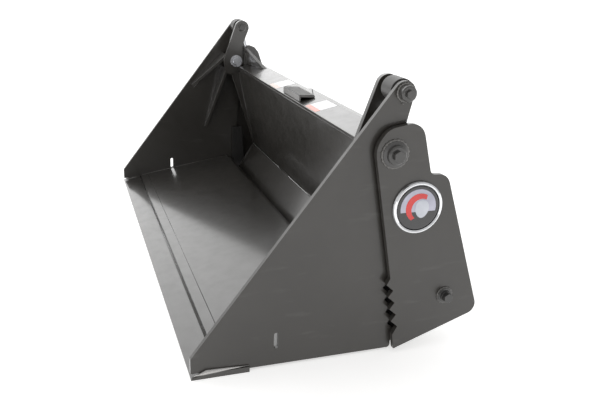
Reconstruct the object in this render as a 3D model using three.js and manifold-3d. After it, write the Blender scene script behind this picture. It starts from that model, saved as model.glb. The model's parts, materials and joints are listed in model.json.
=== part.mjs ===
// A four-in-one loader bucket: a fixed rear section with cheeks and a quick-attach face, a clam that
// opens on two pivot pins, and two hydraulic rams that drive it. Millimetres, +Z up, +X to the right,
// +Y to the rear. Shapes are laid out from the toe of the cutting edge (y = 0, z = 0), and the whole
// group is then centred over the middle of its footprint.
import * as THREE from 'three';
import { mergeVertices } from 'three/addons/utils/BufferGeometryUtils.js';
import Module from 'manifold-3d';

const wasm = await Module();
wasm.setup();

// ---------------------------------------------------------------- driving dimensions
const GAP = 0.3; // between pieces that touch
const CLAM_WIDTH = 1060; // over the clam's two side plates
const CLAM_DEPTH = 341; // toe to the rear bottom corner of a side plate
const PIVOT_HEIGHT = 350;

const SIDE_PLATE = 8; // plate thicknesses
const OUTER_CHEEK = 10;
const INNER_CHEEK = 8;
const INNER_EAR = 10;
const WALL = 6;
const FLOOR = 6;
const WEB = 8;
const RIB = 8;

const CHEEK_GAP = 4; // side plate to outer cheek
const BARREL_CLEARANCE = 1.75; // ram barrel to the plates beside it
const EAR_GAP = 2.5; // inner cheek to inner ear

const EDGE_DEPTH = 94; // cutting edge, front to back
const EDGE_THICK = 9.5;
const EDGE_TIP = 3;
const EDGE_BEVEL = 24;
const EDGE_OVERHANG = 4; // beyond each side plate
const PLATE_LIFT = 4.7; // underside of the side plates, above the ground
const FRONT_HEIGHT = 35; // upright front edge of a side plate

const PIVOT_PIN_R = 12.5;
const TOP_PIN_R = 9;
const BASE_PIN_R = 10;
const PIN_CLEARANCE = 0.35; // radial, pin to bore
const EYE_FLOAT = 5.6; // radial, top pin to rod eye, where the linkage is opened

const SIDE_EAR_R = 17.5;
const INNER_EAR_R = 19;
const PIVOT_EAR_R = 20;
const CHEEK_EAR_R = 21;
const NOTCH_DROP = 33; // of the wall's notch for the ear, below the pivot

const BARREL_R = 18.5;
const BARREL_BORE_R = 14.5;
const ROD_R = 9.5;
const ROD_EYE_R = 19.5;
const STROKE = 60.6; // the rod's travel into the barrel
const RAM_WIDTH = 34; // eyes, along their pins

const TOOTH_PITCH = 22.5;
const TOOTH_DEPTH = 10.5;
const CHEEK_TOOTH_SHIFT = 2; // rearwards, against the clam's teeth
const TEETH = 4;

const RAIL_DEPTH = 57;
const RAIL_DROP = 40;
const WEDGE_WIDTH = 112;
const WEDGE_DEPTH = 37;
const WEDGE_HEIGHT = 12;
const WEDGE_RIDGES = 9;
const GUSSET_HEIGHT = 50;
const GUSSET_LENGTH = 108;
const BADGE_R = 43.5;
const MOUNT_WIDTH = 470;
const MOUNT_PLATE = 10;

// ---------------------------------------------------------------- places worked out from them
const PIVOT = { y: CLAM_DEPTH - 26, z: PIVOT_HEIGHT };
const TOP_PIN = { y: PIVOT.y + 16.5, z: PIVOT.z + 91 };
const BASE_PIN = { y: PIVOT.y + 113, z: 99 };
const WALL_TOP = { y: PIVOT.y + 6.5, z: PIVOT.z - 15 };
const WALL_FOLD = { y: PIVOT.y + 57, z: 108 };
const PANEL_FOOT = { y: PIVOT.y + 12, z: 35 };
const FLOOR_FRONT = { y: EDGE_DEPTH / 2, z: EDGE_THICK + FLOOR + 0.4 };
const FLOOR_REAR = { y: PIVOT.y - 13, z: 63 };

const PLATE_OUT = CLAM_WIDTH / 2; // distances from the middle of the bucket
const PLATE_IN = PLATE_OUT - SIDE_PLATE;
const CHEEK_IN = PLATE_OUT + CHEEK_GAP;
const CHEEK_OUT = CHEEK_IN + OUTER_CHEEK;
const BAY = 2 * (BARREL_R + BARREL_CLEARANCE); // side plate to inner cheek, where the ram works
const BAY_IN = PLATE_IN - BAY; // outboard face of the inner cheek
const WALL_END = BAY_IN - INNER_CHEEK; // inboard face of the inner cheek
const EAR_OUT = WALL_END - EAR_GAP;
const EAR_IN = EAR_OUT - INNER_EAR;
const RETAINER = 5.7;
const RAIL_END = EAR_IN - RETAINER - 3;

// ---------------------------------------------------------------- materials
const steel = (color, roughness, metalness) =>
  new THREE.MeshStandardMaterial({ color, roughness, metalness });
const makePaint = () => steel(0x4b4947, 0.38, 0.25);
const makePin = () => steel(0x45433f, 0.42, 0.4);
const makeChrome = () => steel(0xd8dadd, 0.12, 1);
const makeDark = () => steel(0x1d1c1c, 0.35, 0.1);
const makeZinc = () => steel(0xb4b6bb, 0.3, 0.9);

// ---------------------------------------------------------------- solids
// A closed body: shared vertices merged, slivers dropped and faces turned outwards.
function solid(geometry) {
  const bare = geometry.clone();
  bare.deleteAttribute('normal');
  bare.deleteAttribute('uv');
  const merged = mergeVertices(bare, 1e-4);
  const place = merged.attributes.position;
  const [a, b, c] = [new THREE.Vector3(), new THREE.Vector3(), new THREE.Vector3()];
  const kept = [];
  let volume = 0;
  for (let i = 0; i < merged.index.count; i += 3) {
    const corners = [0, 1, 2].map((k) => merged.index.getX(i + k));
    if (new Set(corners).size < 3) continue;
    kept.push(corners);
    [a, b, c].forEach((v, k) => v.fromBufferAttribute(place, corners[k]));
    volume += a.dot(b.cross(c));
  }
  if (volume < 0) kept.forEach((corners) => corners.reverse());
  merged.setIndex(kept.flat());
  merged.computeVertexNormals();
  return merged;
}

function manifold(geometry) {
  const body = solid(geometry);
  return new wasm.Manifold(new wasm.Mesh({
    numProp: 3,
    vertProperties: new Float32Array(body.attributes.position.array),
    triVerts: new Uint32Array(body.index.array),
  }));
}

function fromManifold(body) {
  const mesh = body.getMesh();
  const geometry = new THREE.BufferGeometry();
  geometry.setAttribute('position', new THREE.BufferAttribute(mesh.vertProperties, 3));
  geometry.setIndex(new THREE.BufferAttribute(mesh.triVerts, 1));
  geometry.computeVertexNormals();
  return geometry;
}

const join = (...parts) => fromManifold(parts.map(manifold).reduce((sum, part) => sum.add(part)));
const cut = (base, ...tools) =>
  fromManifold(tools.map(manifold).reduce((rest, tool) => rest.subtract(tool), manifold(base)));

// ---------------------------------------------------------------- outlines in the y-z plane
// Corners are [y, z] or [y, z, radius]; a radius becomes an arc.
function rounded(corners) {
  const points = [];
  corners.forEach(([y, z, radius], i) => {
    const corner = new THREE.Vector2(y, z);
    if (!radius) {
      points.push(corner);
      return;
    }
    const before = new THREE.Vector2(...corners.at(i - 1)).sub(corner).normalize();
    const after = new THREE.Vector2(...corners[(i + 1) % corners.length]).sub(corner).normalize();
    const half = Math.acos(before.dot(after)) / 2;
    const reach = radius / Math.tan(half);
    const middle = before.clone().add(after).setLength(radius / Math.sin(half)).add(corner);
    const start = before.multiplyScalar(reach).add(corner).sub(middle);
    const end = after.multiplyScalar(reach).add(corner).sub(middle);
    const sweep = Math.atan2(start.cross(end), start.dot(end));
    const steps = Math.max(3, Math.ceil(Math.abs(sweep) / 0.2));
    for (let k = 0; k <= steps; k += 1) {
      points.push(start.clone().rotateAround(new THREE.Vector2(), (sweep * k) / steps).add(middle));
    }
  });
  return points;
}

function circle({ y, z }, radius, steps = 32) {
  return Array.from({ length: steps }, (_, k) => {
    const turn = (2 * Math.PI * k) / steps;
    return new THREE.Vector2(y + radius * Math.cos(turn), z + radius * Math.sin(turn));
  });
}

// Part of a circle, from one angle to another in degrees.
function arc({ y, z }, radius, from, to) {
  const steps = Math.ceil(Math.abs(to - from) / 10);
  return Array.from({ length: steps + 1 }, (_, k) => {
    const turn = THREE.MathUtils.degToRad(from + ((to - from) * k) / steps);
    return new THREE.Vector2(y + radius * Math.cos(turn), z + radius * Math.sin(turn));
  });
}

// A strip of even thickness along a bent line, on the left of its direction.
function strip(line, thick) {
  const path = line.map(([y, z]) => new THREE.Vector2(y, z));
  const normals = path.slice(1).map((point, i) => {
    const along = point.clone().sub(path[i]).normalize();
    return new THREE.Vector2(-along.y, along.x);
  });
  const offset = path.map((point, i) => {
    const before = normals[Math.max(i - 1, 0)];
    const after = normals[Math.min(i, normals.length - 1)];
    const mitre = before.clone().add(after).normalize();
    return point.clone().add(mitre.multiplyScalar(thick / mitre.dot(after)));
  });
  return [...path, ...offset.reverse()];
}

function bore(points) {
  return new THREE.Path(points);
}

// A plate whose outline lies in the y-z plane, from xFrom to xTo.
function plate(outline, xFrom, xTo, holes = []) {
  const shape = new THREE.Shape(outline);
  shape.holes = holes.map(bore);
  const geometry = new THREE.ExtrudeGeometry(shape, { depth: xTo - xFrom, bevelEnabled: false });
  const axes = new THREE.Matrix4().makeBasis(
    new THREE.Vector3(0, 1, 0), new THREE.Vector3(0, 0, 1), new THREE.Vector3(1, 0, 0));
  return geometry.applyMatrix4(axes).translate(xFrom, 0, 0);
}

// A turned piece along +X, from [distance, radius] pairs. A solid one starts and ends on the axis.
function turned(profile, steps = 32) {
  const geometry = new THREE.LatheGeometry(profile.map(([x, r]) => new THREE.Vector2(r, x)), steps);
  return geometry.rotateZ(-Math.PI / 2);
}

const shaft = (xFrom, xTo, radius, steps = 32) =>
  turned([[xFrom, 0], [xFrom, radius], [xTo, radius], [xTo, 0]], steps);

const hexHead = (across, thick) => shaft(0, thick, across / Math.sqrt(3), 6);

// ---------------------------------------------------------------- the scene
const bucket = new THREE.Group();
const rear = new THREE.Group();
const clam = new THREE.Group();
bucket.add(rear, clam);

function piece(parent, name, geometry, material, at = [0, 0, 0]) {
  const mesh = new THREE.Mesh(solid(geometry), material);
  mesh.name = name;
  mesh.position.set(...at);
  parent.add(mesh);
  return mesh;
}

// Adds a left and a right copy of a geometry made for the right-hand side.
function pair(parent, name, geometry, makeMaterial) {
  for (const [side, sign] of [['left', -1], ['right', 1]]) {
    piece(parent, `${name}_${side}`, geometry.clone().scale(sign, 1, 1), makeMaterial());
  }
}

const onAxis = (geometry, { y, z }) => geometry.translate(0, y, z);

// ---------------------------------------------------------------- clam
const floorRise = (FLOOR_REAR.z - FLOOR_FRONT.z) / (FLOOR_REAR.y - FLOOR_FRONT.y);
const floorTop = (y) => FLOOR_FRONT.z + floorRise * (y - FLOOR_FRONT.y);

// The toothed rear edge: the tips of the cheek's teeth lie on this line.
const TOOTH_TOP = 118;
const TOOTH_LEAN = -0.1935;
const tipLine = (z) => CLAM_DEPTH - 21.7 + TOOTH_LEAN * (z - TOOTH_TOP);

function clamTeeth() {
  const corners = [];
  for (let k = 0; k < TEETH; k += 1) {
    const valley = TOOTH_TOP - k * TOOTH_PITCH;
    const tip = valley - TOOTH_PITCH / 2;
    corners.push([tipLine(valley), valley], [tipLine(tip) + TOOTH_DEPTH, tip]);
  }
  return corners;
}

function sidePlate() {
  const run = TOP_PIN.y;
  const rise = TOP_PIN.z - FRONT_HEIGHT;
  const slope = Math.atan2(rise, run) + Math.asin(SIDE_EAR_R / Math.hypot(run, rise));
  const earFrom = slope + Math.PI / 2;
  const earTo = -0.6;
  const ear = Array.from({ length: 17 }, (_, k) => {
    const turn = earFrom + ((earTo - earFrom) * k) / 16;
    return [TOP_PIN.y + SIDE_EAR_R * Math.cos(turn), TOP_PIN.z + SIDE_EAR_R * Math.sin(turn)];
  });
  const rearY = CLAM_DEPTH;
  const outline = rounded([
    [0, EDGE_THICK + GAP], [0, FRONT_HEIGHT], ...ear,
    [PIVOT.y + 22, PIVOT.z + 43, 14], [PIVOT.y + 32, PIVOT.z + 18, 12],
    [PIVOT.y + 31, PIVOT.z - 18, 30], [rearY - 11, TOOTH_TOP + 0.6 * TOOTH_PITCH],
    ...clamTeeth(), [rearY, PLATE_LIFT + 0.5 * TOOTH_PITCH, 3], [rearY, PLATE_LIFT, 6],
    [EDGE_DEPTH + GAP, PLATE_LIFT], [EDGE_DEPTH + GAP, EDGE_THICK + GAP],
  ]);
  const slotY = 138;
  const slotFoot = floorTop(slotY) + 1;
  const slot = rounded([
    [slotY - 3.8, slotFoot, 3.6], [slotY + 3.8, slotFoot, 3.6],
    [slotY + 3.8, slotFoot + 28, 3.6], [slotY - 3.8, slotFoot + 28, 3.6]]);
  return plate(outline, PLATE_IN, PLATE_OUT, [
    circle(PIVOT, PIVOT_PIN_R + PIN_CLEARANCE), circle(TOP_PIN, TOP_PIN_R + PIN_CLEARANCE), slot]);
}

function innerEar() {
  const lobe = { y: PIVOT.y - 17, z: PIVOT.z - 24 };
  const front = { y: PIVOT.y - 12, z: PIVOT.z };
  const outline = [
    ...arc(TOP_PIN, INNER_EAR_R, 163, -20), new THREE.Vector2(PIVOT.y + 22, PIVOT.z + 53),
    ...arc(PIVOT, PIVOT_EAR_R, 15, -60), ...arc(lobe, 13, -75, -160), ...arc(front, 22, -170, -197)];
  return plate(outline, EAR_IN, EAR_OUT, [
    circle(PIVOT, PIVOT_PIN_R + PIN_CLEARANCE), circle(TOP_PIN, TOP_PIN_R + PIN_CLEARANCE)]);
}

// A tapered web from the inner ear out to the side plate. It starts at a place on the ear and runs
// down along the side plate by `length`, in a plane that holds the x axis.
function web(start, heading, length) {
  const wide = PLATE_IN - EAR_OUT - 2 * GAP;
  const shape = new THREE.Shape([
    [0, 0], [wide, 0], [wide, length], [wide - 6, length], [0, 12]].map((p) => new THREE.Vector2(...p)));
  const geometry = new THREE.ExtrudeGeometry(shape, { depth: WEB, bevelEnabled: false });
  geometry.translate(0, 0, -WEB / 2);
  const along = new THREE.Vector3(0, Math.cos(heading), Math.sin(heading));
  const across = new THREE.Vector3(1, 0, 0);
  geometry.applyMatrix4(new THREE.Matrix4().makeBasis(across, along, across.clone().cross(along)));
  return geometry.translate(EAR_OUT + GAP, start.y, start.z);
}

function floorPlate() {
  const span = PLATE_IN - GAP;
  return plate(strip([[FLOOR_REAR.y, FLOOR_REAR.z], [FLOOR_FRONT.y, FLOOR_FRONT.z]], FLOOR), -span, span);
}

function cuttingEdge() {
  const span = PLATE_OUT + EDGE_OVERHANG;
  return plate(rounded([
    [0, 0], [EDGE_DEPTH, 0], [EDGE_DEPTH, EDGE_THICK], [EDGE_BEVEL, EDGE_THICK], [0, EDGE_TIP]]), -span, span);
}

function rearBar() {
  const span = PLATE_IN - GAP;
  const front = FLOOR_REAR.y + 0.3 * FLOOR;
  return plate(rounded([
    [front, 12], [front + 10, 12], [front + 10, FLOOR_REAR.z - 7], [front, FLOOR_REAR.z - 7]]), -span, span);
}

// Shank through the side plate, rod eye and inner ear, with a collar outboard of the side plate.
const TOP_COLLAR_END = PLATE_OUT + 15;
function topPin() {
  const inner = EAR_IN - 6;
  const collarFrom = PLATE_OUT + GAP;
  return onAxis(turned([
    [inner, 0], [inner, TOP_PIN_R - 1], [inner + 1, TOP_PIN_R], [collarFrom, TOP_PIN_R], [collarFrom, 12.5],
    [TOP_COLLAR_END - 1.5, 12.5], [TOP_COLLAR_END, 11], [TOP_COLLAR_END, 0]]), TOP_PIN);
}

pair(clam, 'side_plate', sidePlate(), makePaint);
piece(clam, 'floor_plate', floorPlate(), makePaint());
piece(clam, 'cutting_edge', cuttingEdge(), makePaint());
piece(clam, 'floor_rear_bar', rearBar(), makePaint());
pair(clam, 'inner_ear', innerEar(), makePaint);
pair(clam, 'upper_web', web({ y: PIVOT.y - 23.2, z: PIVOT.z + 14.8 }, THREE.MathUtils.degToRad(225), 129), makePaint);
pair(clam, 'lower_web', web({ y: PIVOT.y - 22.8, z: PIVOT.z - 22.5 }, THREE.MathUtils.degToRad(253), 181), makePaint);
pair(clam, 'top_pin', topPin(), makePin);
pair(clam, 'top_bolt', onAxis(hexHead(12, 5).translate(TOP_COLLAR_END + GAP, 0, 0), TOP_PIN), makePin);

// ---------------------------------------------------------------- rear section
// Directions along the leaning back wall (upwards) and square to it (rearwards).
const wallUp = new THREE.Vector2(WALL_TOP.y - WALL_FOLD.y, WALL_TOP.z - WALL_FOLD.z).normalize();
const wallBack = new THREE.Vector2(wallUp.y, -wallUp.x);
const fromWallTop = (back, up) => [
  WALL_TOP.y + wallBack.x * back + wallUp.x * up, WALL_TOP.z + wallBack.y * back + wallUp.y * up];

function backWall() {
  const foot = [WALL_FOLD.y, WALL_FOLD.z];
  const sheet = plate(strip([fromWallTop(0, -WALL - GAP), foot], WALL), -WALL_END + GAP, WALL_END - GAP);
  const notch = new THREE.BoxGeometry(40, 120, 80)
    .translate(RAIL_END + 20, PIVOT.y, PIVOT.z - NOTCH_DROP + 40);
  return cut(sheet, notch, notch.clone().scale(-1, 1, 1));
}

const panelDown = new THREE.Vector2(PANEL_FOOT.y - WALL_FOLD.y, PANEL_FOOT.z - WALL_FOLD.z).normalize();

function lowerPanel() {
  const top = [WALL_FOLD.y + panelDown.x * 2, WALL_FOLD.z + panelDown.y * 2];
  return plate(strip([top, [PANEL_FOOT.y, PANEL_FOOT.z]], WALL), -WALL_END + GAP, WALL_END - GAP);
}

// Rounded plate on the end of the rail, with a triangular gusset that runs inboard over the rail.
function railGusset() {
  const thick = 8;
  const [outer, inner] = [RAIL_END + 3.7, RAIL_END - GUSSET_LENGTH];
  const [start, end] = [fromWallTop(24, GAP), fromWallTop(42, GAP)];
  const run = new THREE.Vector3(inner - outer, end[0] - start[0], end[1] - start[1]);
  const shape = new THREE.Shape([[0, 0], [run.length(), 0], [0, GUSSET_HEIGHT]].map((p) => new THREE.Vector2(...p)));
  const along = run.clone().normalize();
  const upright = new THREE.Vector3(0, wallUp.x, wallUp.y);
  const gusset = new THREE.ExtrudeGeometry(shape, { depth: thick, bevelEnabled: false });
  gusset.applyMatrix4(new THREE.Matrix4().makeBasis(along, upright, along.clone().cross(upright)));
  gusset.translate(outer, ...start);
  const [front, top] = [PIVOT.y + 21, PIVOT.z + 44];
  const endPlate = plate(rounded([
    [front, PIVOT.z - 30], [front, top - 10], [front + 8, top, 6], [front + 16, top], [front + 30, top - 5.5, 10],
    [front + 41, top - 19, 12], [front + 46, top - 34], [front + 56, top - 62], [front + 56, PIVOT.z - 30, 4]]),
  RAIL_END + GAP, EAR_IN - 2);
  return join(endPlate, gusset);
}

// Strip behind the teeth, inside the side plate, that keeps the load out of the gap.
function gapGuard() {
  const front = CLAM_DEPTH - 23;
  return plate(rounded([
    [front, 25], [CLAM_DEPTH + 12.5, 20], [CLAM_DEPTH + 12.5, 60], [CLAM_DEPTH + 4, 150], [front, 150]]),
  PLATE_IN - 10, PLATE_IN - 3);
}

function bladeBar() {
  const front = FLOOR_REAR.y + 14;
  return plate(rounded([
    [front, 9], [front + 10, 9], [front + 10, PANEL_FOOT.z - 4], [front, PANEL_FOOT.z - 1]]),
  -WALL_END + GAP, WALL_END - GAP);
}

function topRail() {
  const line = [fromWallTop(RAIL_DEPTH - WALL, -RAIL_DROP), fromWallTop(RAIL_DEPTH - WALL, -WALL),
    fromWallTop(0, -WALL)];
  return plate(strip(line.reverse(), WALL), -RAIL_END, RAIL_END);
}

function wedgeStep() {
  const sheet = 3;
  const [frontY, frontZ] = fromWallTop(4, GAP + 0.25 * sheet);
  const [backY, backZ] = fromWallTop(4 + WEDGE_DEPTH, GAP + sheet);
  const outline = strip([[backY, backZ], [frontY, frontZ + WEDGE_HEIGHT], [frontY, frontZ]], sheet);
  const ridge = [[backY, backZ - 0.5], [frontY, frontZ + WEDGE_HEIGHT - 0.5], [frontY + 1, frontZ + WEDGE_HEIGHT + 2],
    [backY, backZ + 2]].map((p) => new THREE.Vector2(...p));
  const pitch = WEDGE_WIDTH / WEDGE_RIDGES;
  const ridges = Array.from({ length: WEDGE_RIDGES }, (_, k) => {
    const left = (k - WEDGE_RIDGES / 2 + 0.25) * pitch;
    return plate(ridge, left, left + pitch / 2);
  });
  return join(plate(outline, -WEDGE_WIDTH / 2, WEDGE_WIDTH / 2), ...ridges).translate(5, 0, 0);
}

function innerCheek() {
  const chin = [PANEL_FOOT.y + 1, 12];
  const foot = [PANEL_FOOT.y, PANEL_FOOT.z];
  const fold = [WALL_FOLD.y, WALL_FOLD.z];
  const toFold = new THREE.Vector2(WALL_FOLD.y - PIVOT.y, WALL_FOLD.z - PIVOT.z);
  const frontTurn = toFold.angle() - Math.acos(CHEEK_EAR_R / toFold.length());
  const nose = Array.from({ length: 9 }, (_, k) => {
    const turn = frontTurn + ((Math.PI / 2 - frontTurn) * k) / 8;
    return [PIVOT.y + CHEEK_EAR_R * Math.cos(turn), PIVOT.z + CHEEK_EAR_R * Math.sin(turn)];
  });
  const outline = rounded([
    chin, foot, fold, ...nose, [PIVOT.y + 32, PIVOT.z + 17, 10],
    [PIVOT.y + 62, PIVOT.z - 22, 20], [BASE_PIN.y + 20, BASE_PIN.z + 105, 40],
    [BASE_PIN.y + 40, BASE_PIN.z - 20, 18], [BASE_PIN.y + 28, BASE_PIN.z - 44, 10]]);
  return plate(outline, WALL_END, BAY_IN, [
    circle(PIVOT, PIVOT_PIN_R + PIN_CLEARANCE), circle(BASE_PIN, BASE_PIN_R + PIN_CLEARANCE)]);
}

function cheekTeeth() {
  const corners = [];
  for (let k = 0; k < TEETH; k += 1) {
    const valley = TOOTH_TOP - k * TOOTH_PITCH;
    const tip = valley + TOOTH_PITCH / 2;
    corners.push([tipLine(tip) + CHEEK_TOOTH_SHIFT, tip],
      [tipLine(valley) + CHEEK_TOOTH_SHIFT + TOOTH_DEPTH, valley]);
  }
  return corners.reverse();
}

function outerCheek() {
  const frontTop = [PIVOT.y - 33, PIVOT.z + 12];
  const outline = rounded([
    [CLAM_DEPTH, 8.5], [CLAM_DEPTH - 4, 36], ...cheekTeeth(),
    [CLAM_DEPTH - 16, TOOTH_TOP + TOOTH_PITCH], [...frontTop, 40], [PIVOT.y - 12, PIVOT.z + 39, 28],
    [PIVOT.y + 44, PIVOT.z + 50, 26], [PIVOT.y + 66.5, PIVOT.z - 37, 9], [PIVOT.y + 96.6, PIVOT.z - 38, 22],
    [BASE_PIN.y + 68, BASE_PIN.z - 36, 18]]);
  return plate(outline, CHEEK_IN, CHEEK_OUT, [
    circle(PIVOT, PIVOT_PIN_R + PIN_CLEARANCE), circle(BASE_PIN, BASE_PIN_R + PIN_CLEARANCE)]);
}

// Closes the bottom and the lower back of the bay where the ram works.
function bayBack() {
  const line = [
    [CLAM_DEPTH + 15, 20], [BASE_PIN.y + 46, BASE_PIN.z - 43], [BASE_PIN.y + 57, BASE_PIN.z - 28],
    [BASE_PIN.y + 38, BASE_PIN.z + 40]];
  return plate(strip(line, WALL), BAY_IN + GAP, CHEEK_IN - GAP);
}

const MOUNT_FACE = PIVOT.y + 127;
const MOUNT_TOP = PIVOT.z - 50;
const MOUNT_FOOT = 105;
const MOUNT_FRONT = MOUNT_FACE - MOUNT_PLATE;

function mountPlate() {
  return plate(rounded([
    [MOUNT_FRONT, MOUNT_FOOT], [MOUNT_FACE, MOUNT_FOOT], [MOUNT_FACE, MOUNT_TOP], [MOUNT_FRONT, MOUNT_TOP]]),
  -MOUNT_WIDTH / 2, MOUNT_WIDTH / 2);
}

function mountLip() {
  const seat = MOUNT_TOP + GAP;
  return plate(rounded([
    [MOUNT_FRONT, seat], [MOUNT_FACE + 13, seat], [MOUNT_FACE + 23, seat - 17], [MOUNT_FACE + 31, seat - 12],
    [MOUNT_FACE + 18, seat + 10], [MOUNT_FRONT, seat + 10]]), -MOUNT_WIDTH / 2, MOUNT_WIDTH / 2);
}

// A ledge under the plate with two slots for the locking pins of the quick attach.
function mountFoot() {
  const [deep, thick, slotWide, slotDeep] = [42, 10, 48, 22];
  const ledge = new THREE.BoxGeometry(MOUNT_WIDTH, deep, thick);
  const slots = [-150, 150].map((x) => (
    new THREE.BoxGeometry(slotWide, slotDeep, 2 * thick).translate(x, (deep - slotDeep) / 2 - 6, 0)));
  return cut(ledge, ...slots).translate(0, MOUNT_FRONT + deep / 2, MOUNT_FOOT - GAP - thick / 2);
}

function rib(x) {
  const clear = WALL + 2 * GAP;
  const wallTop = fromWallTop(clear, -WALL - RAIL_DROP);
  const drop = (WALL_TOP.z - WALL_FOLD.z) / wallUp.y;
  const fold = fromWallTop(clear, -drop - 3);
  const panelBack = new THREE.Vector2(-panelDown.y, panelDown.x).multiplyScalar(clear);
  const low = 48;
  const panelLow = [
    WALL_FOLD.y + panelDown.x * low + panelBack.x, WALL_FOLD.z + panelDown.y * low + panelBack.y];
  const front = MOUNT_FRONT - GAP;
  const outline = rounded([
    wallTop, fold, panelLow, [front, MOUNT_FOOT], [front, MOUNT_TOP - 8], [front - 20, MOUNT_TOP]]);
  return plate(outline, x - RIB / 2, x + RIB / 2);
}

// Pivot pin, fixed to the rear section: the clam's ears and side plates turn on it.
const BOSS_END = CHEEK_OUT + 12;
const pivotPin = () => onAxis(shaft(EAR_IN, CHEEK_OUT + 7, PIVOT_PIN_R), PIVOT);

function pivotBoss() {
  const from = CHEEK_OUT + GAP;
  const boreR = PIVOT_PIN_R + PIN_CLEARANCE;
  const boreEnd = CHEEK_OUT + 7.5;
  return onAxis(turned([
    [from, boreR], [from, 21], [from + 3, 21], [from + 4.5, 15.8], [BOSS_END - 1.5, 15.2], [BOSS_END, 13],
    [BOSS_END, 0], [boreEnd, 0], [boreEnd, boreR], [from, boreR]]), PIVOT);
}

function pivotRetainer() {
  const washerFrom = EAR_IN - GAP - 3;
  return onAxis(turned([
    [EAR_IN - RETAINER, 0], [EAR_IN - RETAINER, 9], [washerFrom, 9.5], [washerFrom, 16.5],
    [EAR_IN - GAP, 16.5], [EAR_IN - GAP, 0]]), PIVOT);
}

// Base pin of the ram, through both cheeks, with a head inboard and a stepped cap outboard.
const BASE_CAP_END = CHEEK_OUT + 9;
function basePin() {
  const inner = WALL_END - GAP;
  const outer = CHEEK_OUT + GAP;
  return onAxis(turned([
    [inner - 5, 0], [inner - 5, 12.5], [inner, 12.5], [inner, BASE_PIN_R], [CHEEK_IN + 2, BASE_PIN_R],
    [outer, BASE_PIN_R], [outer, 13], [outer + 3, 13], [outer + 3.4, 9.6], [BASE_CAP_END, 9.4],
    [BASE_CAP_END, 0]]), BASE_PIN);
}

const BADGE = { y: PIVOT.y + 46, z: PIVOT.z - 89 };
function badgeRim() {
  const from = CHEEK_OUT + GAP;
  const profile = [
    [0, BADGE_R - 6.4], [0, BADGE_R - 0.5], [2.5, BADGE_R], [5, BADGE_R - 1.2], [6.2, BADGE_R - 3.4],
    [5, BADGE_R - 5.6], [3, BADGE_R - 6.4], [0, BADGE_R - 6.4]];
  return onAxis(turned(profile.map(([x, r]) => [from + x, r]), 40), BADGE);
}

function badgeFace() {
  const from = CHEEK_OUT + GAP;
  const r = BADGE_R - 6.8;
  return onAxis(turned([
    [from, 0], [from, r], [from + 3, r], [from + 4.4, r * 0.7], [from + 5.2, r * 0.35], [from + 5.4, 0]], 40), BADGE);
}

piece(rear, 'back_wall', backWall(), makePaint());
piece(rear, 'lower_panel', lowerPanel(), makePaint());
piece(rear, 'blade_bar', bladeBar(), makePaint());
piece(rear, 'top_rail', topRail(), makePaint());
piece(rear, 'wedge_step', wedgeStep(), makePaint());
pair(rear, 'inner_cheek', innerCheek(), makePaint);
pair(rear, 'outer_cheek', outerCheek(), makePaint);
pair(rear, 'bay_back', bayBack(), makePaint);
pair(rear, 'gap_guard', gapGuard(), makePaint);
pair(rear, 'rail_gusset', railGusset(), makePaint);
piece(rear, 'mount_plate', mountPlate(), makePaint());
piece(rear, 'mount_lip', mountLip(), makePaint());
piece(rear, 'mount_foot', mountFoot(), makePaint());
[-MOUNT_WIDTH / 2 + RIB, 0, MOUNT_WIDTH / 2 - RIB].forEach((x, i) => {
  piece(rear, `rib_${i + 1}`, rib(x), makePaint());
});
pair(rear, 'pivot_pin', pivotPin(), makePin);
pair(rear, 'pivot_boss', pivotBoss(), makePin);
pair(rear, 'pivot_bolt', onAxis(hexHead(16, 6).translate(BOSS_END + GAP, 0, 0), PIVOT), makePin);
pair(rear, 'pivot_retainer', pivotRetainer(), makeZinc);
pair(rear, 'base_pin', basePin(), makePin);
pair(rear, 'base_bolt', onAxis(hexHead(15, 7).translate(BASE_CAP_END + GAP, 0, 0), BASE_PIN), makePin);
pair(rear, 'badge_rim', badgeRim(), makeChrome);
pair(rear, 'badge_face', badgeFace(), makeDark);

// ---------------------------------------------------------------- rams
// Each ram is built along its own +Z from the base pin, then tilted towards the top pin.
const ramLength = Math.hypot(TOP_PIN.y - BASE_PIN.y, TOP_PIN.z - BASE_PIN.z);
const ramTilt = Math.atan2(BASE_PIN.y - TOP_PIN.y, TOP_PIN.z - BASE_PIN.z);
const ramMiddle = BAY_IN + BAY / 2;
const GLAND = 22;
const rodEnd = ramLength - ROD_EYE_R - 8;
const BARREL_END = rodEnd - STROKE - 3.5 - GLAND;
const ROD_FOOT = 92;

const upright = (geometry) => geometry.rotateY(-Math.PI / 2);

function barrel() {
  const tube = upright(turned([
    [14, 0], [14, BARREL_R], [BARREL_END, BARREL_R], [BARREL_END, BARREL_BORE_R], [30, BARREL_BORE_R], [30, 0]]));
  const eye = shaft(-RAM_WIDTH / 2, RAM_WIDTH / 2, 20);
  const pinBore = shaft(-RAM_WIDTH, RAM_WIDTH, BASE_PIN_R + PIN_CLEARANCE);
  return cut(join(tube, eye), pinBore);
}

function gland() {
  const from = BARREL_END + GAP;
  const boreR = ROD_R + PIN_CLEARANCE;
  return upright(turned([
    [from, boreR], [from, BARREL_R + 1], [from + GLAND - 4, BARREL_R + 1], [from + GLAND, BARREL_R - 3],
    [from + GLAND, boreR], [from, boreR]]));
}

const EYE_BORE_R = TOP_PIN_R + EYE_FLOAT;
function rod() {
  const pistonR = BARREL_BORE_R - PIN_CLEARANCE;
  return upright(turned([
    [ROD_FOOT, 0], [ROD_FOOT, pistonR], [ROD_FOOT + 26, pistonR], [ROD_FOOT + 26, ROD_R], [rodEnd, ROD_R],
    [rodEnd, 0]]));
}

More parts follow.
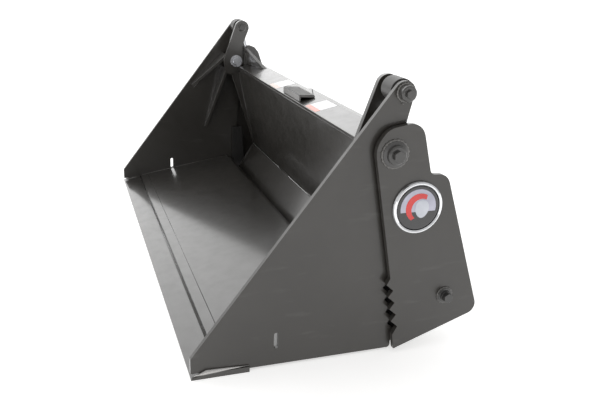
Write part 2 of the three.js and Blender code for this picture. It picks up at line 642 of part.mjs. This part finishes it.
function rodEye() {
  const ring = shaft(-RAM_WIDTH / 2, RAM_WIDTH / 2, ROD_EYE_R).translate(0, 0, ramLength);
  const neck = upright(turned([
    [rodEnd + GAP, 0], [rodEnd + GAP, ROD_R + 4], [ramLength - 14, ROD_R + 6], [ramLength - 14, 0]]));
  const pinBore = shaft(-RAM_WIDTH, RAM_WIDTH, EYE_BORE_R).translate(0, 0, ramLength);
  return cut(join(ring, neck), pinBore);
}

// A port on the barrel for the pressure hose, near its base.
function port() {
  return shaft(0, 16, 8, 24).rotateZ(Math.PI / 2).translate(0, BARREL_R - 0.5, 52);
}

for (const [side, sign] of [['left', -1], ['right', 1]]) {
  const ram = new THREE.Group();
  ram.position.set(sign * ramMiddle, BASE_PIN.y, BASE_PIN.z);
  ram.rotation.x = ramTilt;
  piece(ram, `barrel_${side}`, join(barrel(), port()), makePaint());
  piece(ram, `gland_${side}`, gland(), makePin());
  piece(ram, `rod_${side}`, rod(), makeChrome());
  piece(ram, `rod_eye_${side}`, rodEye(), makePin());
  bucket.add(ram);
}

// ---------------------------------------------------------------- centred over its footprint
const extent = new THREE.Box3().setFromObject(bucket);
bucket.position.y = -(extent.min.y + extent.max.y) / 2;

export default bucket;
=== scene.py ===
"""Looks of the four-in-one loader bucket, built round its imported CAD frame."""
import json
import math
import bmesh
import bpy
from mathutils import Matrix, Vector


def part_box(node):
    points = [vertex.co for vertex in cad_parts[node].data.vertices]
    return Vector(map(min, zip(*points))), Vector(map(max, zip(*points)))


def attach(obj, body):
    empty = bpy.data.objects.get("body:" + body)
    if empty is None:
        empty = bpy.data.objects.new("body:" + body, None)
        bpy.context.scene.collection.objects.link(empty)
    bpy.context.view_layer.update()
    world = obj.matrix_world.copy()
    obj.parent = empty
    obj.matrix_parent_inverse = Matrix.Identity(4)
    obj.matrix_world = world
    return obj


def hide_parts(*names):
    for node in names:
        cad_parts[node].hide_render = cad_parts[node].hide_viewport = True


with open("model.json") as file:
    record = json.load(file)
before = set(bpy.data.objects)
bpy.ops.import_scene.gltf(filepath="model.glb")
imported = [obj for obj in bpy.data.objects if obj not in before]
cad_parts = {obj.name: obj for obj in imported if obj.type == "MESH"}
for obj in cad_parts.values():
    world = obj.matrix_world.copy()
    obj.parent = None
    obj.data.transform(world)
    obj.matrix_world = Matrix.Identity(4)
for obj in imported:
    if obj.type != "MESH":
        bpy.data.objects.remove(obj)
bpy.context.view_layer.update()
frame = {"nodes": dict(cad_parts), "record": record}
scene = bpy.context.scene
nodes = frame["nodes"]
body_of = {node: body for body, names in frame["record"]["behaviour"]["bodies"].items() for node in names}
slot_of = {part["node"]: part["material_slot"] for part in frame["record"]["subparts"]}

# Places are written in millimetres from the toe of the cutting edge, as in the CAD source.
TOE_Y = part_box("cutting_edge")[0].y


def at(x, y, z):
    return Vector((x / 1000, y / 1000 + TOE_Y, z / 1000))


# Distances from the middle to the faces of the side plates, the outer cheeks and the wall's ends.
PLATE_IN, PLATE_OUT, CHEEK_OUT, WALL_END = 522, 530, 544, 473.5
# Places from the side, as y and z.
PIVOT, TOP_PIN, BASE_PIN, BADGE = (315, 350), (331.5, 441), (428, 99), (361, 261)
FLOOR_FRONT, FLOOR_REAR = (47, 15.9), (302, 63)
WALL_TOP, WALL_FOLD = Vector((321.5, 335)), Vector((372, 108))
WALL_UP = (WALL_TOP - WALL_FOLD).normalized()
WALL_BACK = Vector((WALL_UP.y, -WALL_UP.x))


def from_wall_top(x, back, up):
    """A place on the rail, measured back from the wall's front face and up from the rail's top."""
    p = WALL_TOP + WALL_BACK * back + WALL_UP * up
    return at(x, p.x, p.y)


def floor_top(y):
    """The height of the floor plate's upper face."""
    slope = (FLOOR_REAR[1] - FLOOR_FRONT[1]) / (FLOOR_REAR[0] - FLOOR_FRONT[0])
    return FLOOR_FRONT[1] + slope * (y - FLOOR_FRONT[0])


# ---------------------------------------------------------------- materials
def node_material(name, **sockets):
    material = bpy.data.materials.new(name)
    material.use_nodes = True
    shader = material.node_tree.nodes["Principled BSDF"]
    for socket, value in sockets.items():
        shader.inputs[socket.replace("_", " ")].default_value = value
    return material, material.node_tree, shader


def noise(tree, scale, detail=3.0, stretch=(1, 1, 1)):
    place = tree.nodes.new("ShaderNodeTexCoord")
    mapping = tree.nodes.new("ShaderNodeMapping")
    mapping.inputs["Scale"].default_value = stretch
    texture = tree.nodes.new("ShaderNodeTexNoise")
    texture.inputs["Scale"].default_value = scale
    texture.inputs["Detail"].default_value = detail
    tree.links.new(place.outputs["Object"], mapping.inputs["Vector"])
    tree.links.new(mapping.outputs["Vector"], texture.inputs["Vector"])
    return texture.outputs["Fac"]


def spread(tree, value, low, high, start=0.3, end=0.7):
    node = tree.nodes.new("ShaderNodeMapRange")
    for socket, number in (("From Min", start), ("From Max", end), ("To Min", low), ("To Max", high)):
        node.inputs[socket].default_value = number
    tree.links.new(value, node.inputs["Value"])
    return node.outputs["Result"]


def blend_colour(tree, value, low, high):
    """A colour between two. Each is three numbers or another node's output."""
    node = tree.nodes.new("ShaderNodeMix")
    node.data_type = "RGBA"
    tree.links.new(value, node.inputs["Factor"])
    for socket, colour in (("A", low), ("B", high)):
        if isinstance(colour, tuple):
            node.inputs[socket].default_value = (*colour, 1)
        else:
            tree.links.new(colour, node.inputs[socket])
    return node.outputs["Result"]


def bump(tree, shader, value, strength, distance, socket="Normal"):
    node = tree.nodes.new("ShaderNodeBump")
    node.inputs["Strength"].default_value = strength
    node.inputs["Distance"].default_value = distance
    tree.links.new(value, node.inputs["Height"])
    tree.links.new(node.outputs["Normal"], shader.inputs[socket])


SCUFF_GREY = (0.16, 0.155, 0.15)


def paint(name, dark, light, rough, coat, ripple=0.12, scuffs=0.0):
    """Semi-gloss paint on steel: soft mottling, orange peel and, where asked, faint scuffs."""
    material, tree, shader = node_material(name, Coat_Weight=coat, Coat_Roughness=0.13, Coat_IOR=1.5)
    mottle = spread(tree, noise(tree, 7, 4), 0, 1)
    colour = blend_colour(tree, mottle, dark, light)
    if scuffs:
        streaks = spread(tree, noise(tree, 26, 5, (1, 0.5, 2.4)), 0, scuffs, 0.62, 0.8)
        colour = blend_colour(tree, streaks, colour, SCUFF_GREY)
    tree.links.new(colour, shader.inputs["Base Color"])
    tree.links.new(spread(tree, noise(tree, 40, 4), rough - 0.05, rough + 0.06), shader.inputs["Roughness"])
    bump(tree, shader, noise(tree, 420, 2), ripple, 0.00012)
    bump(tree, shader, noise(tree, 260, 1), ripple * 0.6, 0.00008, "Coat Normal")
    return material


def metal(name, colour, rough, brushed=60):
    material, tree, shader = node_material(name, Metallic=1.0)
    shader.inputs["Base Color"].default_value = (*colour, 1)
    wear = spread(tree, noise(tree, brushed, 4), rough * 0.7, rough * 1.5)
    tree.links.new(wear, shader.inputs["Roughness"])
    bump(tree, shader, noise(tree, 900, 2), 0.05, 0.00005)
    return material


def gloss(name, colour, other, rough):
    material, tree, shader = node_material(name, Coat_Weight=0.8, Coat_Roughness=0.05)
    tree.links.new(blend_colour(tree, spread(tree, noise(tree, 30, 3), 0, 1), colour, other),
                   shader.inputs["Base Color"])
    tree.links.new(spread(tree, noise(tree, 90, 3), rough * 0.8, rough * 1.3), shader.inputs["Roughness"])
    return material


PAINT = paint("dark_grey_paint", (0.025, 0.0226, 0.0192), (0.033, 0.030, 0.0258), 0.34, 1.0)
SCUFFED = paint("scuffed_grey_paint", (0.026, 0.0236, 0.0202), (0.034, 0.0310, 0.0268), 0.38, 0.6,
                scuffs=0.16)
PIN_PAINT = paint("painted_pins", (0.026, 0.025, 0.024), (0.046, 0.044, 0.042), 0.34, 0.7, 0.3)
GREASY = paint("greasy_steel", (0.030, 0.0285, 0.027), (0.052, 0.050, 0.048), 0.5, 0.25, 0.4)
# Painted shade: the gap guard is near-black and matte, darker than the paint, for the shade in the gap it
# stands in.
PAINTED_SHADE_GUARD = paint("guard_painted_shade", (0.012, 0.0115, 0.011), (0.020, 0.019, 0.018), 0.7, 0.0, 0.3)
# Painted sheen: the wedge step is painted mid grey, much lighter than its dark glossy steel, for the light on
# its top.
PAINTED_SHEEN_STEP = paint("step_painted_sheen", (0.16, 0.157, 0.152), (0.26, 0.255, 0.25), 0.5, 0.4, 0.5)
# Painted highlights: the step's ridges are painted near white, for the light they catch on their dark glossy
# steel.
PAINTED_HIGHLIGHT_RIDGE = paint("ridge_painted_highlight", (0.50, 0.51, 0.53), (0.70, 0.71, 0.73), 0.4, 0.4, 0.3)
BRIGHT_BEAD = metal("burnished_bead", (0.52, 0.51, 0.50), 0.26)
BEAD = paint("weld_bead_paint", (0.045, 0.042, 0.038), (0.12, 0.114, 0.106), 0.24, 1.0, 0.6)
CHROME = metal("hard_chrome", (0.80, 0.81, 0.83), 0.09)
ZINC = metal("zinc_plate", (0.56, 0.57, 0.60), 0.28)
BADGE_BLACK = gloss("badge_black", (0.010, 0.010, 0.011), (0.018, 0.018, 0.020), 0.16)
BADGE_FIELD = gloss("badge_field", (0.50, 0.50, 0.60), (0.34, 0.34, 0.42), 0.20)
BADGE_RED = gloss("badge_red", (0.72, 0.022, 0.016), (0.55, 0.012, 0.010), 0.2)
BADGE_SILVER = gloss("badge_silver", (0.62, 0.64, 0.70), (0.44, 0.46, 0.52), 0.2)
STICKER = gloss("blank_sticker", (0.86, 0.86, 0.87), (0.78, 0.78, 0.80), 0.45)
STICKER_RED = gloss("sticker_red", (0.83, 0.24, 0.15), (0.78, 0.19, 0.12), 0.42)
STICKER_PINK = gloss("sticker_pink", (0.84, 0.60, 0.52), (0.80, 0.54, 0.46), 0.45)
FINISH = {"paint": PAINT, "pin_steel": PIN_PAINT, "chrome": CHROME, "zinc": ZINC, "badge_dark": BADGE_BLACK}


# ---------------------------------------------------------------- pieces
def new_piece(name, mesh, body, material):
    piece = bpy.data.objects.new(name, mesh)
    scene.collection.objects.link(piece)
    mesh.materials.clear()
    mesh.materials.append(material)
    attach(piece, body)
    return piece


def mesh_from(bm, name):
    mesh = bpy.data.meshes.new(name)
    bm.to_mesh(mesh)
    bm.free()
    return mesh


def ease_edges(piece, width, segments, sharper_than):
    """Bevels the edges that turn by more than an angle in degrees, by a width in millimetres."""
    bevel = piece.modifiers.new("ease", "BEVEL")
    bevel.width = width / 1000
    bevel.segments = segments
    bevel.limit_method = "ANGLE"
    bevel.angle_limit = math.radians(sharper_than)
    return bevel


FLAT_ANGLE, SHARP_ANGLE = 0.8, 28


def soften(node, width, material=None):
    """A plate or pin again with eased edges, in the place of its CAD node."""
    bm = bmesh.new()
    bm.from_mesh(nodes[node].data)
    bmesh.ops.remove_doubles(bm, verts=bm.verts, dist=2e-6)
    bmesh.ops.dissolve_limit(bm, angle_limit=math.radians(FLAT_ANGLE), verts=bm.verts, edges=bm.edges)
    for face in bm.faces:
        face.smooth = True
    for edge in bm.edges:
        edge.smooth = edge.calc_face_angle(0) < math.radians(SHARP_ANGLE)
    name = node + "_eased"
    slot = slot_of[node]
    piece = new_piece(name, mesh_from(bm, name), body_of[node], material or FINISH[slot])
    ease_edges(piece, width, 2, SHARP_ANGLE).harden_normals = True
    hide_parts(node)


def angles(steps):
    return [2 * math.pi * k / steps for k in range(steps)]


def join_rings(bm, a, b):
    for k in range(len(a)):
        after = (k + 1) % len(a)
        bm.faces.new((a[k], a[after], b[after], b[k]))


def cap_ends(bm, rings):
    bm.faces.new(rings[0][::-1])
    bm.faces.new(rings[-1])


BEAD_SIDES, BEAD_END = 8, 0.3


def bead(name, body, path, radius=2.0, closed=False, ripple=0.16, material=None):
    """A weld bead: a round tube along a path of places, with a radius in millimetres.

    The radius goes up and down from one place to the next, and an open bead is thin at its two ends,
    so an open bead with two places is a thin plain rod.
    """
    count = len(path)
    bm = bmesh.new()
    rings = []
    for i, p in enumerate(path):
        after = path[(i + 1) % count] if closed or i < count - 1 else p
        before = path[i - 1] if closed or i > 0 else p
        along = (after - before).normalized()
        if abs(along.x) > 0.9:
            side = along.orthogonal().normalized()
        else:
            side = along.cross(Vector((1, 0, 0))).normalized()
        up = along.cross(side)
        r = radius / 1000 * (1 + ripple * (1 if i % 2 else -1) + 0.08 * math.sin(i * 1.7))
        if not closed and i in (0, count - 1):
            r *= BEAD_END
        rings.append([bm.verts.new(p + (side * math.cos(t) + up * math.sin(t)) * r)
                      for t in angles(BEAD_SIDES)])
    for a, b in zip(rings, rings[1:]):
        join_rings(bm, a, b)
    if closed:
        join_rings(bm, rings[-1], rings[0])
    else:
        cap_ends(bm, rings)
    bmesh.ops.recalc_face_normals(bm, faces=bm.faces)
    for face in bm.faces:
        face.smooth = True
    return new_piece(name, mesh_from(bm, name), body, material or BEAD)


def ring_path(x, centre, radius, steps=40):
    return [at(x, centre[0] + radius * math.cos(t), centre[1] + radius * math.sin(t)) for t in angles(steps)]


def slab(name, body, material, outline, thick, ease=0.15):
    """A thin plate from an outline of places, pushed along `thick`, with eased edges."""
    bm = bmesh.new()
    face = bm.faces.new([bm.verts.new(p) for p in outline])
    pushed = bmesh.ops.extrude_face_region(bm, geom=[face])["geom"]
    bmesh.ops.translate(bm, vec=thick, verts=[v for v in pushed if isinstance(v, bmesh.types.BMVert)])
    bmesh.ops.recalc_face_normals(bm, faces=bm.faces)
    ease_edges(new_piece(name, mesh_from(bm, name), body, material), ease, 1, 50)


def lathe(name, body, material, profile, sign, centre, steps=72):
    """A turned piece along X, from [distance from the middle, radius] pairs in millimetres."""
    bm = bmesh.new()
    rings = [[bm.verts.new(p) for p in ring_path(sign * x, centre, r, steps)] for x, r in profile]
    for a, b in zip(rings, rings[1:]):
        join_rings(bm, a, b)
    cap_ends(bm, rings)
    bmesh.ops.recalc_face_normals(bm, faces=bm.faces)
    for face in bm.faces:
        face.smooth = len(face.verts) == 4
    return new_piece(name, mesh_from(bm, name), body, material)


# ---------------------------------------------------------------- nodes with eased edges
# Each keeps its CAD shape apart from the eased edges. The widths are in millimetres.
EASE = {"paint": 0.8, "pin_steel": 0.6, "chrome": 0.3, "zinc": 0.5, "badge_dark": 0.3}
FINE = {"cutting_edge": 0.4, "wedge_step": 0.25, "badge_rim_left": 0.2, "badge_rim_right": 0.2,
        "floor_plate": 0.4, "pivot_boss_left": 0.3, "pivot_boss_right": 0.3}
# Painted shade: the gap guard takes the near-black guard paint.
# Painted sheen: the wedge step takes the lighter grey step paint.
OWN = {"outer_cheek": SCUFFED, "side_plate": SCUFFED, "rod_eye": GREASY, "gland": GREASY,
       "barrel": GREASY, "gap_guard": PAINTED_SHADE_GUARD, "wedge_step": PAINTED_SHEEN_STEP}
for name in nodes:
    if name.startswith("badge_face"):
        continue
    own = [finish for start, finish in OWN.items() if name.startswith(start)]
    soften(name, FINE.get(name, EASE[slot_of[name]]), own[0] if own else None)


# ---------------------------------------------------------------- seams, welds and badges of each side
def clam_seams(side, s):
    x = s * (PLATE_IN - 0.6)
    collar_x = s * (PLATE_OUT + 0.8)
    end_x = s * (PLATE_OUT + 1.6)
    pin_x = s * 460.4
    bead(f"floor_seam_{side}", "clam", [at(x, 50, floor_top(50)), at(x, 300, floor_top(300))], 2.6)
    bead(f"floor_edge_seam_{side}", "clam", [at(x, 4, 4), at(x, 24, 9.5), at(x, 50, 10.5)], 2.4)
    bead(f"edge_end_bead_{side}", "clam", [at(end_x, 5, 5.6), at(end_x, 24, 10.8), at(end_x, 93, 10.8)], 3.1,
         ripple=0.35, material=BRIGHT_BEAD)
    bead(f"web_seam_a_{side}", "clam", [at(x, 281, 349), at(x, 206, 268)], 2.2)
    bead(f"web_seam_b_{side}", "clam", [at(x, 281.5, 324), at(x, 238, 160)], 2.2)
    bead(f"rear_bar_seam_{side}", "clam", [at(x, 303, 14), at(x, 303, 56)], 2.2)
    bead(f"top_collar_weld_{side}", "clam", ring_path(collar_x, TOP_PIN, 13.2), 1.9, True, 0.3)
    bead(f"top_pin_weld_{side}", "clam", ring_path(pin_x, TOP_PIN, 9.8, 28), 1.7, True, 0.2)
    bead(f"grease_point_{side}", "clam", [at(s * 529, 327, 424), at(s * 534, 327, 424)], 2.2)


def rear_seams(side, s):
    x = s * (WALL_END - 0.4)
    cheek_x = s * (CHEEK_OUT + 0.8)
    bead(f"pivot_weld_{side}", "rear_section", ring_path(cheek_x, PIVOT, 21.8), 1.9, True, 0.3)
    bead(f"base_weld_{side}", "rear_section", ring_path(cheek_x, BASE_PIN, 13.6, 32), 1.5, True, 0.3)
    bead(f"wall_side_seam_{side}", "rear_section",
         [at(x, 326.2, 313), at(x, WALL_FOLD.x - 0.3, WALL_FOLD.y)], 2.4)
    bead(f"panel_side_seam_{side}", "rear_section", [at(x, WALL_FOLD.x, WALL_FOLD.y), at(x, 328, 38)], 2.4)
    bead(f"gusset_front_seam_{side}", "rear_section",
         [from_wall_top(s * 348, 41, 0.4), from_wall_top(s * 451, 24.5, 0.4)], 2.0)
    bead(f"gusset_rear_seam_{side}", "rear_section",
         [from_wall_top(s * 348, 50.5, 0.4), from_wall_top(s * 451, 34, 0.4)], 2.0)
    bead(f"guard_seam_{side}", "rear_section", [at(s * 515, 354, 24), at(s * 530, 354.6, 23)], 2.4)


BADGE_PROFILE = [(CHEEK_OUT + 0.3, 36.4), (CHEEK_OUT + 4.2, 36.4), (CHEEK_OUT + 4.7, 35.6),
                 (CHEEK_OUT + 4.8, 34)]
BADGE_PLANE, BADGE_SHEET = CHEEK_OUT + 4.75, 0.0003


def arc_angles(start, turn, steps):
    return [math.radians(start + turn * k / steps) for k in range(steps + 1)]


def badge(side, s):
    """A nearly flat face, with a pale field, a red crescent and a plain rounded shape on it."""
    face = lathe(f"badge_dome_{side}", "rear_section", BADGE_BLACK, BADGE_PROFILE, s, BADGE)
    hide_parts(f"badge_face_{side}")

    def place(y, z, lift=0.0):
        return at(s * (BADGE_PLANE + lift), BADGE[0] + y, BADGE[1] + z)

    field = [place(31 * math.cos(t), 31 * math.sin(t)) for t in arc_angles(-12, 204, 36)]
    outer = [place(2 + 24 * math.cos(t), 24 * math.sin(t), 0.35) for t in arc_angles(58, 178, 24)]
    inner = [place(5.5 + 17.5 * math.cos(t), -2.5 + 17.5 * math.sin(t), 0.35)
             for t in arc_angles(232, -168, 24)]
    oval = [place(6.5 + 12 * math.cos(t) * (1 + 0.12 * math.sin(t)), -2 + 15 * math.sin(t), 0.4)
            for t in angles(36)]
    for name, material, outline in (("field", BADGE_FIELD, field), ("crescent", BADGE_RED, outer + inner),
                                    ("shape", BADGE_SILVER, oval)):
        slab(f"badge_{name}_{side}", "rear_section", material, outline,
             Vector((s * BADGE_SHEET, 0, 0)))


for side, s in (("left", -1), ("right", 1)):
    clam_seams(side, s)
    rear_seams(side, s)
    badge(side, s)

# ---------------------------------------------------------------- seams across the bucket
WALL_SEAM_END, EDGE_SEAM_END, RIB_SEAM_END, RAIL_END = WALL_END - 1, 519, WALL_END - 2, 451
FLOOR_LINE_Y, FLOOR_LINE_END = 67, 500
bead("fold_seam", "rear_section", [at(-WALL_SEAM_END, 371.6, 108), at(WALL_SEAM_END, 371.6, 108)], 3.0)
bead("blade_seam", "rear_section", [at(-WALL_SEAM_END, 327.6, 34), at(WALL_SEAM_END, 327.6, 34)], 2.2)
bead("wall_top_seam", "rear_section", [from_wall_top(-RAIL_END, -0.2, -7), from_wall_top(RAIL_END, -0.2, -7)],
     1.2, ripple=0.05)
bead("floor_front_seam", "clam", [at(-EDGE_SEAM_END, 45, 12.2), at(EDGE_SEAM_END, 45, 12.2)], 4.2,
     ripple=0.12)
bead("floor_plug_line", "clam", [at(x, FLOOR_LINE_Y, floor_top(FLOOR_LINE_Y))
                                 for x in (-FLOOR_LINE_END, FLOOR_LINE_END)], 1.9, ripple=0.3)

REAR_WELDS, REAR_WELD_START, REAR_WELD_PITCH, REAR_WELD_LENGTH = 9, -480, 108, 62
for i in range(REAR_WELDS):
    x = REAR_WELD_START + i * REAR_WELD_PITCH
    bead(f"floor_rear_weld_{i + 1}", "clam", [at(x, 302.2, 60.5), at(x + REAR_WELD_LENGTH, 302.2, 60.5)], 2.8)
bead("rib_foot_seam", "rear_section", [at(-RIB_SEAM_END, 377.8, 108.2), at(RIB_SEAM_END, 377.8, 108.2)], 2.0)

# ---------------------------------------------------------------- top rail
STICKER_SHEET = Vector((0, WALL_UP.x, WALL_UP.y)) * 0.0002


def rail_patch(name, material, x0, x1, front, rear):
    corners = [from_wall_top(x, back, 0.02) for x, back in ((x0, front), (x1, front), (x1, rear), (x0, rear))]
    slab(name, "rear_section", material, corners, STICKER_SHEET, 0.05)


# Two blank stickers, each with a coloured band along its front.
for name, x0, x1, band in (("a", -160, -104, STICKER_PINK), ("b", 103, 165, STICKER_RED)):
    rail_patch(f"sticker_band_{name}", band, x0, x1, 2.5, 14)
    rail_patch(f"sticker_{name}", STICKER, x0, x1, 14.2, 52)

# The ridges of the wedge step, painted near white as painted highlights.
STEP_RIDGES, STEP_MIDDLE, STEP_WIDTH = 9, 5, 112
for i in range(STEP_RIDGES):
    x = STEP_MIDDLE + (i - STEP_RIDGES // 2) * STEP_WIDTH / STEP_RIDGES
    bead(f"step_ridge_{i + 1}", "rear_section", [from_wall_top(x, 5, 14.5), from_wall_top(x, 38, 5)], 2.6,
         ripple=0.05, material=PAINTED_HIGHLIGHT_RIDGE)
bead("rail_stud", "rear_section", [from_wall_top(9, 54, -0.5), from_wall_top(9, 54, 6)], 3.0, ripple=0.02,
     material=PIN_PAINT)

# ---------------------------------------------------------------- floor
bm = bmesh.new()
bmesh.ops.create_grid(bm, x_segments=1, y_segments=1, size=30)
ground_mesh = mesh_from(bm, "ground")
ground = bpy.data.objects.new("ground", ground_mesh)
scene.collection.objects.link(ground)
floor, _, shader = node_material("pale_floor", Roughness=0.9)
shader.inputs["Specular IOR Level"].default_value = 0.0
shader.inputs["Base Color"].default_value = (0.88, 0.88, 0.88, 1)
shader.inputs["Emission Color"].default_value = (1, 0.995, 0.985, 1)
shader.inputs["Emission Strength"].default_value = 0.55
ground_mesh.materials.append(floor)

# ---------------------------------------------------------------- light
# A white room, brighter in a high patch towards -X.
ROOM_LIGHT, PATCH_LIGHT = 0.66, 1.9
world = bpy.data.worlds.new("studio")
scene.world = world
world.use_nodes = True
tree = world.node_tree
background = tree.nodes["Background"]
background.inputs["Color"].default_value = (1, 1, 1, 1)
place = tree.nodes.new("ShaderNodeTexCoord")
split = tree.nodes.new("ShaderNodeSeparateXYZ")
tree.links.new(place.outputs["Generated"], split.inputs["Vector"])
beside = spread(tree, split.outputs["X"], 1, 0, -0.75, -0.15)
height = spread(tree, split.outputs["Z"], 0, 1, 0.02, 0.3)
patch = tree.nodes.new("ShaderNodeMath")
patch.operation = "MULTIPLY"
tree.links.new(beside, patch.inputs[0])
tree.links.new(height, patch.inputs[1])
strength = spread(tree, patch.outputs["Value"], ROOM_LIGHT, PATCH_LIGHT, 0, 1)
tree.links.new(strength, background.inputs["Strength"])

# ---------------------------------------------------------------- camera
AZIMUTH, ELEVATION, ROLL = math.radians(70.56), math.radians(18.93), math.radians(2.08)
DISTANCE = 1.646
TARGET = Vector((0, 0.3568 + TOE_Y, 0.0901))
camera = bpy.data.cameras.new("camera")
camera.sensor_width = 36
camera.lens = 42.01
view = bpy.data.objects.new("camera", camera)
scene.collection.objects.link(view)
back = Vector((math.sin(AZIMUTH) * math.cos(ELEVATION), -math.cos(AZIMUTH) * math.cos(ELEVATION),
               math.sin(ELEVATION)))
right = Vector((0, 0, 1)).cross(back).normalized()
up = back.cross(right)
roll = Matrix.Rotation(ROLL, 3, back)
right, up = roll @ right, roll @ up
turn = Matrix((right, up, back)).transposed().to_4x4()
view.matrix_world = Matrix.Translation(TARGET + back * DISTANCE) @ turn
scene.camera = view
scene.view_settings.view_transform = "Standard"

bpy.context.view_layer.update()
